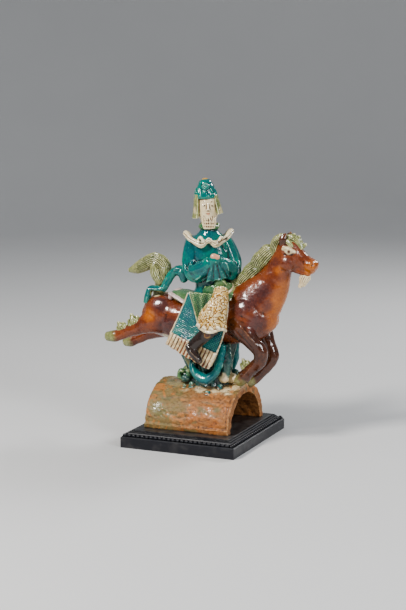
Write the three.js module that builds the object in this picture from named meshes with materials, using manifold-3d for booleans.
// Glazed ridge tile: a rider turned on a galloping horse, carried by a cloud scroll on a barrel tile,
// with the moulded display plinth it stands on. Millimetres, +Z up. The horse gallops along +X, and the
// rider looks out to the -Y side. The origin is the middle of the plinth's underside.
import * as THREE from "three";
import { mergeVertices } from "three/addons/utils/BufferGeometryUtils.js";
import Module from "manifold-3d";

const wasm = await Module();
wasm.setup();

// Driving dimensions.
const plinth = { length: 196, depth: 226, slab: 17, height: 27, beadPitch: 9.2, beadDepth: 2.6 };
const tile = { length: 146, width: 156, rise: 69, wall: 14, footHeight: 8, footStep: 3 };
const rider = { x: 8, y: 0, turn: THREE.MathUtils.degToRad(24), hatTop: 400 };
const halfBarrel = 37; // half the thickness of the horse's barrel

const alongX = new THREE.Vector3(1, 0, 0);
const alongY = new THREE.Vector3(0, 1, 0);

// ---- Shaping tools ------------------------------------------------------------------------------

// A closed body round a smooth line of stations [x, y, z, halfWidth, halfHeight]. The width lies along
// `side`. `dome` is how far the rounded ends stand out past the first and last station. `swell` scales
// the section by its angle and place.
function loft(stations, { side = alongY, sides = 10, rings = 8, dome = [4, 4], capRows = 1, swell } = {}) {
  const line = new THREE.CatmullRomCurve3(stations.map(([x, y, z]) => new THREE.Vector3(x, y, z)));
  const girth = new THREE.CatmullRomCurve3(stations.map(([, , , wide, tall]) => new THREE.Vector3(wide, tall, 0)));
  const rows = rings + 2 * capRows;
  const body = new THREE.SphereGeometry(1, sides, rows);
  const place = body.attributes.position;
  const point = new THREE.Vector3();
  for (let row = 0; row <= rows; row++) {
    const atStart = row < capRows;
    const inDome = atStart ? row / capRows : Math.min(1, (rows - row) / capRows);
    const t = THREE.MathUtils.clamp((row - capRows) / rings, 0, 1);
    const round = Math.sin((inDome * Math.PI) / 2);
    const reach = Math.cos((inDome * Math.PI) / 2) * (atStart ? -dome[0] : dome[1]);
    const centre = line.getPoint(t);
    const along = line.getTangent(t);
    const across = side.clone().addScaledVector(along, -side.dot(along)).normalize();
    const upward = new THREE.Vector3().crossVectors(along, across);
    const { x: wide, y: tall } = girth.getPoint(t);
    for (let column = 0; column <= sides; column++) {
      const angle = (-2 * Math.PI * (column % sides)) / sides;
      const scale = round * (swell ? swell(angle, t) : 1);
      point.copy(centre).addScaledVector(along, reach);
      point.addScaledVector(across, wide * scale * Math.cos(angle));
      point.addScaledVector(upward, tall * scale * Math.sin(angle));
      place.setXYZ(row * (sides + 1) + column, point.x, point.y, point.z);
    }
  }
  return solid(body);
}

// A closed sheet of clay. face(u, v) gives a point on its outer face, with u and v from 0 to 1, and
// back(u, v) gives the step from the outer face to the inner one.
function panel(columns, rows, face, back) {
  const body = new THREE.BoxGeometry(1, 1, 1, columns, rows, 1);
  const place = body.attributes.position;
  for (let i = 0; i < place.count; i++) {
    const [u, v] = [place.getX(i) + 0.5, 0.5 - place.getY(i)];
    const point = face(u, v);
    if (place.getZ(i) < 0) point.add(back(u, v));
    place.setXYZ(i, point.x, point.y, point.z);
  }
  return solid(body);
}

// A round rope bent into a closed ring. centre(angle) gives its line.
function ring(centre, radius, steps, sides) {
  const body = new THREE.TorusGeometry(2, 1, sides, steps);
  const place = body.attributes.position;
  for (let i = 0; i < place.count; i++) {
    const angle = Math.atan2(place.getY(i), place.getX(i));
    const outward = Math.hypot(place.getX(i), place.getY(i)) - 2;
    const { x, y, z, thick = 1 } = centre(angle);
    place.setXYZ(
      i,
      x + Math.cos(angle) * outward * radius * thick,
      y + Math.sin(angle) * outward * radius * thick,
      z + place.getZ(i) * radius * thick,
    );
  }
  return solid(body);
}

function ball(x, y, z, rx, ry, rz, sides = 6, rows = 4) {
  return solid(new THREE.SphereGeometry(1, sides, rows).scale(rx, ry, rz).translate(x, y, z));
}

// A three.js geometry as a manifold-3d solid with its shared vertices merged.
function solid(geometry) {
  const bare = new THREE.BufferGeometry().setAttribute("position", geometry.getAttribute("position"));
  bare.setIndex(geometry.index);
  const merged = mergeVertices(bare, 1e-3);
  return new wasm.Manifold(
    new wasm.Mesh({
      numProp: 3,
      vertProperties: merged.attributes.position.array,
      triVerts: new Uint32Array(merged.index.array),
    }),
  );
}

function fuse(solids) {
  return solids.reduce((whole, next) => whole.add(next));
}

// The solid on the far side of the horse that matches one on the near side.
function mirrored(near) {
  return near.scale([1, -1, 1]);
}

function both(near) {
  return [near, mirrored(near)];
}

function namedMesh(name, shape, color, roughness) {
  const { vertProperties, triVerts } = shape.getMesh();
  const geometry = new THREE.BufferGeometry();
  geometry.setAttribute("position", new THREE.BufferAttribute(new Float32Array(vertProperties), 3));
  geometry.setIndex(new THREE.BufferAttribute(new Uint32Array(triVerts), 1));
  geometry.computeVertexNormals();
  const mesh = new THREE.Mesh(geometry, new THREE.MeshStandardMaterial({ color, roughness, metalness: 0 }));
  mesh.name = name;
  return mesh;
}

// ---- Display plinth -----------------------------------------------------------------------------

// A moulded board: the profile [inset, height] runs round the four sides and is mitred at the corners.
function mouldedBoard(profile) {
  const board = new THREE.LatheGeometry(
    profile.map(([inset, height]) => new THREE.Vector2(200 - inset, height)),
    4,
    Math.PI / 4,
  );
  const place = board.attributes.position;
  for (let i = 0; i < place.count; i++) {
    const [x, height, z] = [place.getX(i), place.getY(i), place.getZ(i)];
    const radius = Math.hypot(x, z);
    const inset = 200 - radius;
    const onAxis = radius < 1;
    place.setXYZ(
      i,
      onAxis ? 0 : Math.sign(x) * (plinth.length / 2 - inset),
      onAxis ? 0 : -Math.sign(z) * (plinth.depth / 2 - inset),
      height,
    );
  }
  return solid(board);
}

// A beaded strip round the board, drawn as one zigzag outline with a plain rectangular hole.
function beadedStrip(inset, low, high) {
  const corners = [
    [-1, -1],
    [1, -1],
    [1, 1],
    [-1, 1],
  ].map(([x, y]) => new THREE.Vector2(x * (plinth.length / 2 - inset), y * (plinth.depth / 2 - inset)));
  const outline = [];
  corners.forEach((corner, side) => {
    const next = corners[(side + 1) % 4];
    const run = next.clone().sub(corner);
    const inward = new THREE.Vector2(-run.y, run.x).normalize();
    const beads = Math.round(run.length() / plinth.beadPitch);
    for (let i = 0; i < 2 * beads; i++) {
      const depth = i % 2 === 1 ? 0 : plinth.beadDepth;
      const corneredDepth = i === 0 ? 0 : depth;
      outline.push(corner.clone().addScaledVector(run, i / (2 * beads)).addScaledVector(inward, corneredDepth));
    }
  });
  const strip = new THREE.Shape(outline);
  strip.holes.push(new THREE.Path(corners.map((corner) => corner.clone().multiplyScalar(0.88)).reverse()));
  const ring = new THREE.ExtrudeGeometry(strip, { depth: high - low, bevelEnabled: false });
  return solid(ring.translate(0, 0, low));
}

function displayPlinth() {
  const board = mouldedBoard([
    [200, 0],
    [0, 0],
    [0, plinth.slab],
    [2, plinth.slab],
    [2, 18.5],
    [7, 21.5],
    [7, 24],
    [8.5, 24],
    [11, plinth.height],
    [200, plinth.height],
  ]);
  return fuse([board, beadedStrip(3, 18.2, 23)]);
}

// ---- Ridge tile ---------------------------------------------------------------------------------

function ridgeTile() {
  const half = tile.width / 2;
  const outline = new THREE.Shape();
  outline.moveTo(-half, 0);
  outline.lineTo(-half, tile.footHeight - 2);
  outline.lineTo(-half + tile.footStep, tile.footHeight);
  outline.absellipse(0, tile.footHeight, half - tile.footStep, tile.rise - tile.footHeight, Math.PI, 0, true);
  outline.lineTo(half, tile.footHeight - 2);
  outline.lineTo(half, 0);
  outline.lineTo(half - tile.wall, 0);
  outline.absellipse(0, 0, half - tile.wall, tile.rise - tile.wall, 0, Math.PI, false);
  const barrel = new THREE.ExtrudeGeometry(outline, {
    depth: tile.length,
    steps: 1,
    bevelEnabled: false,
    curveSegments: 14,
  });
  barrel.translate(0, 0, -tile.length / 2);
  barrel.applyMatrix4(new THREE.Matrix4().makeBasis(alongY, new THREE.Vector3(0, 0, 1), alongX));
  return solid(barrel);
}

// A cloud scroll rises from the crown of the tile to the horse's belly.
function cloudScroll() {
  const trunk = loft(
    [
      [12, 0, 60, 40, 27],
      [11, 0, 76, 35, 26],
      [10, 0, 96, 37, 28],
      [7, 0, 118, 45, 30],
      [5, 0, 140, 50, 32],
    ],
    { side: alongX, sides: 16, rings: 4, swell: (angle) => 1 + 0.04 * Math.cos(8 * angle) },
  );
  // A broad hanging lobe on each face, bent like a U.
  const lobe = loft(
    [
      [-6, -27, 118, 9, 8],
      [-1, -32, 96, 9, 9],
      [17, -35, 80, 9, 10],
      [35, -33, 90, 9, 9],
      [44, -28, 112, 8, 8],
      [46, -24, 132, 7, 8],
    ],
    { sides: 7, rings: 7 },
  );
  // A small curl at the foot of the cloud, towards the tail.
  const curlLine = [];
  for (let i = 0; i <= 5; i++) {
    const turn = 0.4 - (i / 5) * 1.5 * Math.PI;
    const reach = 12 - 1.6 * i;
    curlLine.push([-29 + reach * Math.cos(turn), -19, 83 + reach * Math.sin(turn), 10 - 0.6 * i, 6 - 0.4 * i]);
  }
  const curl = loft(curlLine, { sides: 6, rings: 6 });
  return [trunk, ...both(lobe), curl];
}

// ---- Horse --------------------------------------------------------------------------------------

function horseBody() {
  const barrel = loft(
    [
      [-92, 0, 181, 27, 28],
      [-78, 0, 176, 34, 35],
      [-50, 0, 171, halfBarrel, 36],
      [0, 0, 169, halfBarrel + 1, 37],
      [50, 0, 175, halfBarrel + 1, 41],
      [88, 0, 184, halfBarrel - 1, 45],
      [112, 0, 187, 30, 38],
      [124, 0, 189, 20, 26],
    ],
    { sides: 14, rings: 7, dome: [15, 10], capRows: 2 },
  );
  const neck = loft(
    [
      [82, 0, 194, 33, 44],
      [99, 0, 212, 28, 40],
      [116, 0, 234, 22, 31],
      [128, 0, 258, 18, 22],
      [136, 0, 280, 16, 18],
      [141, 0, 294, 15, 16],
    ],
    { sides: 10, rings: 5, dome: [4, 8] },
  );
  return [barrel, neck];
}

function horseHead() {
  const skull = loft(
    [
      [138, 0, 290, 13, 22],
      [146, 0, 286, 17, 27],
      [158, 0, 279, 15, 21],
      [170, 0, 273, 12, 14.5],
      [181, 0, 268, 12, 12.5],
      [187, 0, 265, 11, 11.5],
    ],
    { sides: 10, rings: 6, dome: [9, 5], capRows: 2 },
  );
  const lowerJaw = loft(
    [
      [150, 0, 265, 9, 8],
      [164, 0, 258, 8, 5],
      [178, 0, 254, 7, 4.5],
    ],
    { sides: 8, rings: 3, dome: [3, 3] },
  );
  const beard = loft(
    [
      [175, 0, 254, 6, 8],
      [171, 0, 246, 6, 8],
      [168, 0, 236, 3, 5],
    ],
    { sides: 8, rings: 2, dome: [2, 2], swell: (angle) => 1 + 0.12 * Math.cos(4 * angle) },
  );
  const cheek = ball(144, -13, 271, 13, 7, 14, 7, 5);
  const eye = ball(152, -14.5, 290, 6, 5, 4.5);
  const nostril = ball(183, -10, 273, 5, 4, 4.5);
  const ear = loft(
    [
      [138, -9, 302, 3, 6],
      [140, -11, 311, 3.5, 6],
      [146, -11, 317, 1.2, 2.5],
    ],
    { sides: 6, rings: 2, dome: [1, 1] },
  );
  return [skull, lowerJaw, beard, ...both(cheek), ...both(eye), ...both(nostril), ...both(ear)];
}

// A lock of hair with combed ridges that run along it.
function lock(stations, ridges, sides = 10, rings = 3) {
  return loft(stations, { sides, rings, dome: [3, 2], swell: (angle) => 1 + 0.07 * Math.cos(ridges * angle) });
}

function horseHair() {
  // Four rounded locks overlap up the crest of the neck: [x, z, half length, half depth, lean].
  const mane = [
    [60, 230, 15, 12, 0.7],
    [83, 250, 17, 14, 0.85],
    [105, 274, 18, 16, 0.95],
    [127, 296, 20, 10, 1.25],
  ].map(([x, z, reach, depth, lean]) => {
    const [alongRun, alongRise] = [reach * Math.cos(lean), reach * Math.sin(lean)];
    return lock(
      [
        [x - alongRun, 0, z - alongRise, 8, depth * 0.4],
        [x - alongRun * 0.3, 0, z - alongRise * 0.3, 11, depth],
        [x + alongRun * 0.4, 0, z + alongRise * 0.4, 11, depth * 0.95],
        [x + alongRun, 0, z + alongRise, 8, depth * 0.4],
      ],
      6,
    );
  });
  const forelock = [
    lock([[143, 0, 308, 8, 8], [152, 0, 308, 10, 8], [161, 0, 303, 8, 7], [167, 0, 294, 6, 5]], 5, 10),
    lock([[151, 0, 306, 5, 5], [154, 0, 316, 2, 2.5]], 3, 6, 1),
    lock([[158, 0, 304, 5, 5], [162, 0, 313, 2, 2.5]], 3, 6, 1),
    lock([[164, 0, 296, 5, 5], [173, 0, 301, 2, 2.5]], 3, 6, 1),
  ];
  const tail = lock(
    [
      [-80, 0, 206, 8, 7],
      [-76, 0, 222, 7, 6],
      [-69, 0, 240, 9, 8],
      [-72, 0, 257, 10, 10],
      [-88, 0, 265, 10, 10],
      [-106, 0, 256, 10, 11],
      [-122, 0, 248, 9, 9],
      [-135, 0, 244, 4, 4],
    ],
    5,
    10,
    9,
  );
  const tailCurl = lock([[-76, -6, 226, 6, 6], [-84, -7, 242, 7, 9], [-88, -6, 256, 5, 6]], 4, 8, 3);
  return [...mane, ...forelock, tail, tailCurl];
}

// One leg from the body to the tip of the hoof.
function leg(stations) {
  return loft(stations, { sides: 8, rings: stations.length - 1, dome: [4, 5] });
}

// A fan of hair behind a leg, from its root to its tip.
function tuft([x, y, z], [tipX, tipY, tipZ], size) {
  return loft(
    [
      [x, y, z, size * 0.55, size],
      [(x + tipX) / 2, y, (z + tipZ) / 2, size * 0.55, size * 0.9],
      [tipX, tipY, tipZ, 1.5, 3],
    ],
    { sides: 6, rings: 2, dome: [1, 0.5] },
  );
}

function horseLegs() {
  const nearFore = leg([
    [70, -27, 178, 13, 26],
    [86, -32, 160, 12, 21],
    [101, -32, 143, 12, 15],
    [112, -30, 128, 12, 13],
    [108, -28, 114, 11, 12],
    [97, -25, 104, 9, 11],
    [85, -24, 93, 9, 10],
    [79, -23, 86, 11, 11],
    [70, -22, 77, 11, 9],
  ]);
  const farFore = leg([
    [76, 26, 176, 12, 22],
    [92, 30, 152, 11, 15],
    [101, 30, 132, 11, 11],
    [108, 28, 113, 10, 11],
    [101, 25, 98, 9, 10],
    [89, 22, 84, 8, 9],
    [80, 21, 76, 9, 10],
    [70, 19, 68, 10, 9],
  ]);
  const nearHind = leg([
    [-66, -18, 172, 17, 30],
    [-86, -24, 164, 14, 20],
    [-105, -25, 154, 10, 12],
    [-123, -25, 147, 9, 10],
    [-142, -25, 139, 8, 9],
    [-152, -25, 136, 9, 10],
    [-164, -25, 135, 7, 8],
  ]);
  const farHind = leg([
    [-66, 18, 162, 17, 28],
    [-86, 24, 148, 13, 18],
    [-104, 25, 138, 10, 11],
    [-120, 25, 131, 8, 9],
    [-136, 25, 124, 8, 9],
    [-146, 25, 120, 9, 10],
    [-156, 25, 118, 7, 8],
  ]);
  const tufts = [
    tuft([-112, -25, 154], [-121, -25, 173], 11),
    tuft([-133, -25, 145], [-144, -25, 158], 9),
    tuft([-110, 25, 138], [-118, 25, 154], 9),
    tuft([86, -24, 98], [77, -24, 115], 9),
  ];
  return [nearFore, farFore, nearHind, farHind, ...tufts];
}

// ---- Saddle, cloths and ribbon ------------------------------------------------------------------

function saddleAndCloths() {
  const saddle = loft(
    [
      [-50, 0, 212, 22, 7],
      [-38, 0, 208, 30, 10],
      [0, 0, 203, 33, 11],
      [40, 0, 207, 32, 12],
      [58, 0, 218, 22, 8],
    ],
    { sides: 10, rings: 4, dome: [3, 3] },
  );
  // The big cloth hangs askew, as if blown back, and flares off the flank towards its fringe.
  const hangOut = (v) => -(36 + 4 * v + 15 * v * v);
  const rearEdge = new THREE.LineCurve3(new THREE.Vector3(-14, 0, 218), new THREE.Vector3(-45, 0, 137));
  const frontEdge = new THREE.QuadraticBezierCurve3(
    new THREE.Vector3(56, 0, 218),
    new THREE.Vector3(60, 0, 160),
    new THREE.Vector3(32, 0, 100),
  );
  const clothFace = (u, v) => {
    const point = rearEdge.getPoint(v).lerp(frontEdge.getPoint(v), u);
    point.y = hangOut(v) - 2.5 * Math.sin(Math.PI * u);
    return point;
  };
  const inward = (thickness) => () => new THREE.Vector3(0, thickness, 0);
  const cloth = panel(4, 6, (u, v) => clothFace(u, v * 0.86), inward(5));
  const strands = 8;
  const fringeFace = (u, v) => {
    const point = clothFace(u, 0.81 + 0.19 * v);
    point.y -= 1 + 2 * (1 - Math.abs(Math.cos(strands * Math.PI * u)));
    return point;
  };
  const fringe = panel(strands * 2, 1, fringeFace, inward(8));
  // A smaller flap lies over the cloth behind the rider's knee.
  const flapFace = (u, v) =>
    new THREE.Vector3(
      THREE.MathUtils.lerp(-9 + 17 * v, 34, u),
      hangOut(v * 0.45) - 4 - 2 * Math.sin(Math.PI * u),
      THREE.MathUtils.lerp(220, 172 + 8 * u, v),
    );
  const flap = panel(3, 3, flapFace, inward(7));
  const farFringe = mirrored(panel(4, 1, (u, v) => clothFace(u, 0.81 + 0.19 * v), inward(6)));
  return [saddle, ...both(cloth), fringe, farFringe, flap];
}

// A ribbon is knotted behind the rider and trails over the croup on the near side.
function croupRibbon() {
  const knot = loft([[-32, -9, 234, 6, 6], [-36, -9, 247, 8, 9], [-47, -9, 250, 8, 8]], { sides: 8, rings: 3 });
  const trail = loft(
    [
      [-26, -3, 246, 6, 6],
      [-38, -8, 252, 6, 7],
      [-52, -10, 245, 6, 7],
      [-61, -13, 231, 6, 7],
      [-68, -16, 219, 6, 6],
      [-79, -18, 219, 6, 5],
      [-88, -20, 218, 6, 5],
      [-91, -23, 207, 6, 5],
      [-94, -25, 196, 4, 4],
    ],
    { sides: 6, rings: 9, dome: [3, 2] },
  );
  return [knot, trail];
}

// ---- Rider --------------------------------------------------------------------------------------

// The rider's own pieces are shaped looking along -Y, then turned to look over the horse's shoulder.
function riderTorso() {
  const torso = loft(
    [
      [7, 0, 196, 40, 30],
      [7, 0, 212, 34, 29],
      [7, 0, 226, 29, 25],
      [6, 0, 248, 30, 24],
      [4, 0, 274, 33, 24],
      [1, 0, 301, 33, 21],
    ],
    { side: alongX, sides: 12, rings: 5, dome: [2, 5] },
  );
  // Wide sleeves from shoulder to clasped hands, with folds running round the elbow.
  const sleeveFolds = (angle, t) => 1 + 0.07 * Math.sin(Math.PI * t) * Math.cos(4 * angle + 4 * t);
  const sleeve = (stations) => loft(stations, { sides: 10, rings: 7, dome: [6, 3], swell: sleeveFolds });
  const rearSleeve = sleeve([
    [-26, 0, 300, 13, 12],
    [-28, 1, 282, 15, 14],
    [-28, 0, 262, 17, 15],
    [-23, -10, 250, 16, 16],
    [-10, -28, 256, 13, 16],
    [4, -42, 269, 9, 12],
  ]);
  const foreSleeve = sleeve([
    [23, 0, 302, 13, 12],
    [31, 1, 284, 15, 14],
    [38, 0, 262, 17, 15],
    [36, -10, 252, 16, 15],
    [27, -28, 258, 13, 16],
    [14, -42, 269, 9, 12],
  ]);
  // The cuffs hang in deep folds under the hands.
  const flutes = 3;
  const cuffFace = (u, v) => {
    const depth = Math.abs(Math.sin(flutes * Math.PI * u));
    return new THREE.Vector3(
      THREE.MathUtils.lerp(9 + 14 * (u - 0.5), 12 + 34 * (u - 0.5), v),
      -49 + 8 * v - 3 * depth,
      THREE.MathUtils.lerp(270, 237 + 6 * u + 2 * depth, v),
    );
  };
  const cuffs = panel(flutes * 2, 2, cuffFace, () => new THREE.Vector3(0, 16, 0));
  const hands = ball(9, -46, 275, 9, 9, 9, 8, 5);
  const sash = loft([[-6, -26, 219, 5, 8], [10, -34, 225, 7, 10], [28, -32, 228, 7, 9], [38, -22, 226, 4, 6]], {
    sides: 8,
    rings: 4,
  });
  return [torso, rearSleeve, foreSleeve, cuffs, hands, sash];
}

// A cape with a rolled, scalloped rim that turns up at the shoulders.
function cape() {
  const sheet = loft(
    [
      [-1, 0, 301, 34, 25],
      [0, 0, 309, 24, 18],
      [0, 0, 316, 15, 14],
      [0, 0, 323, 12, 12],
    ],
    { side: alongX, sides: 12, rings: 3, dome: [4, 2] },
  );
  const rim = ring(
    (angle) => ({
      x: -1 + 35 * Math.cos(angle),
      y: 26 * Math.sin(angle),
      z: 302 + 13 * Math.cos(angle) ** 2 + 4 * Math.cos(angle) + 2.2 * Math.cos(8 * angle),
      thick: 1 - 0.15 * Math.cos(8 * angle),
    }),
    5.5,
    24,
    5,
  );
  const collar = ring((angle) => ({ x: 12 * Math.cos(angle), y: 12 * Math.sin(angle), z: 322 }), 4, 10, 4);
  return [sheet, rim, collar];
}

function riderHead() {
  const neck = loft([[0, 0, 316, 11, 11], [0, -1, 336, 10, 10]], { side: alongX, sides: 8, rings: 1 });
  const head = loft(
    [
      [0, -5, 332, 8, 9],
      [-1, -4, 341, 13, 14],
      [-1.5, -3, 353, 15.5, 17],
      [-2, -2, 366, 15.5, 16.5],
      [-3, -1, 376, 13, 13],
    ],
    { side: alongX, sides: 10, rings: 5, dome: [3, 4] },
  );
  const nose = loft([[-2, -19, 360, 1.6, 2], [-1.5, -21, 353, 2.2, 3.4], [-1.5, -19, 349, 2.4, 2.6]], {
    side: alongX,
    sides: 5,
    rings: 2,
    dome: [1, 1],
  });
  const mouth = ball(-1, -18, 343, 4.5, 2.4, 1.8, 6, 4);
  const eyes = [-8, 4.5].map((x) => ball(x, -17.6, 357, 3.4, 2, 1.7, 6, 4));
  const beard = loft([[-0.5, -14, 336, 6.5, 4], [0, -15, 328, 6, 3.5], [0, -15, 321, 3, 2.5]], {
    side: alongX,
    sides: 8,
    rings: 2,
    dome: [1, 1],
  });
  const crown = loft(
    [
      [-4, -1, 370, 17.5, 18],
      [-4, -1, 377, 18.5, 19],
      [-4.5, -1, 384, 17, 17.5],
      [-5, -1, 391, 13, 13],
    ],
    { side: alongX, sides: 12, rings: 3, dome: [2, rider.hatTop - 391], capRows: 2 },
  );
  const brim = ring(
    (angle) => ({
      x: -4 + 17.5 * Math.cos(angle),
      y: -1 + 18 * Math.sin(angle),
      z: 373.5 + 1.5 * Math.sin(5 * angle),
      thick: 1 + 0.15 * Math.cos(5 * angle),
    }),
    3.4,
    15,
    4,
  );
  const boss = ball(-4, -17, 387, 6, 5, 6, 6, 4);
  // The cap's long lappets and neck guard: one curtain, open at the face.
  const open = 0.78;
  const curtainAngle = (u) => -Math.PI / 2 + open + u * 2 * (Math.PI - open);
  const curtainFace = (u, v) => {
    const angle = curtainAngle(u);
    const flare = 18.5 + 6 * v * v;
    return new THREE.Vector3(
      (flare + 2 * v * v) * Math.cos(angle) - 4 + 2.5 * v,
      -1 + flare * Math.sin(angle),
      373.5 - 32 * v + 5 * v * Math.cos(angle),
    );
  };
  const curtain = panel(10, 2, curtainFace, (u, v) => {
    const thickness = 8 - 4 * v;
    return new THREE.Vector3(-thickness * Math.cos(curtainAngle(u)), -thickness * Math.sin(curtainAngle(u)), 0);
  });
  return [neck, head, nose, mouth, ...eyes, beard, crown, brim, boss, curtain];
}

// The bent leg: a patterned apron over the knee, and the boot drawn back below it.
function riderLeg() {
  const apron = loft(
    [
      [45, -38, 226, 11, 10],
      [47, -48, 212, 13, 14],
      [43, -56, 196, 18, 15],
      [38, -58, 180, 22, 14],
      [39, -58, 168, 22, 14],
    ],
    { side: alongX, sides: 12, rings: 5, dome: [4, 3], swell: (angle, t) => 1 + 0.08 * t * Math.cos(6 * angle) },
  );
  const boot = loft(
    [
      [40, -58, 168, 10, 11],
      [26, -61, 155, 10, 11],
      [12, -64, 142, 9, 10],
      [5, -66, 135, 8, 9],
    ],
    { sides: 8, rings: 3, dome: [3, 4] },
  );
  const foot = loft(
    [
      [2, -66, 139, 7, 7],
      [7, -67, 131, 8, 8],
      [15, -68, 122, 8, 7],
      [21, -68, 115, 6, 5],
    ],
    { sides: 8, rings: 3, dome: [3, 4] },
  );
  return [apron, boot, foot];
}

function turnedRider() {
  return fuse([...riderTorso(), ...cape(), ...riderHead()])
    .rotate([0, 0, THREE.MathUtils.radToDeg(rider.turn)])
    .translate([rider.x, rider.y, 0]);
}

function ridgeFigure() {
  return fuse([
    ridgeTile(),
    ...cloudScroll(),
    ...horseBody(),
    ...horseHead(),
    ...horseHair(),
    ...horseLegs(),
    ...saddleAndCloths(),
    ...croupRibbon(),
    ...riderLeg().flatMap(both),
    turnedRider(),
  ]);
}

const model = new THREE.Group();
model.add(namedMesh("display_plinth", displayPlinth(), 0x1c1d22, 0.35));
const standing = new THREE.Group();
standing.position.z = plinth.height;
standing.add(namedMesh("ridge_tile_figure", ridgeFigure(), 0x8a4a24, 0.25));
model.add(standing);

export default model;
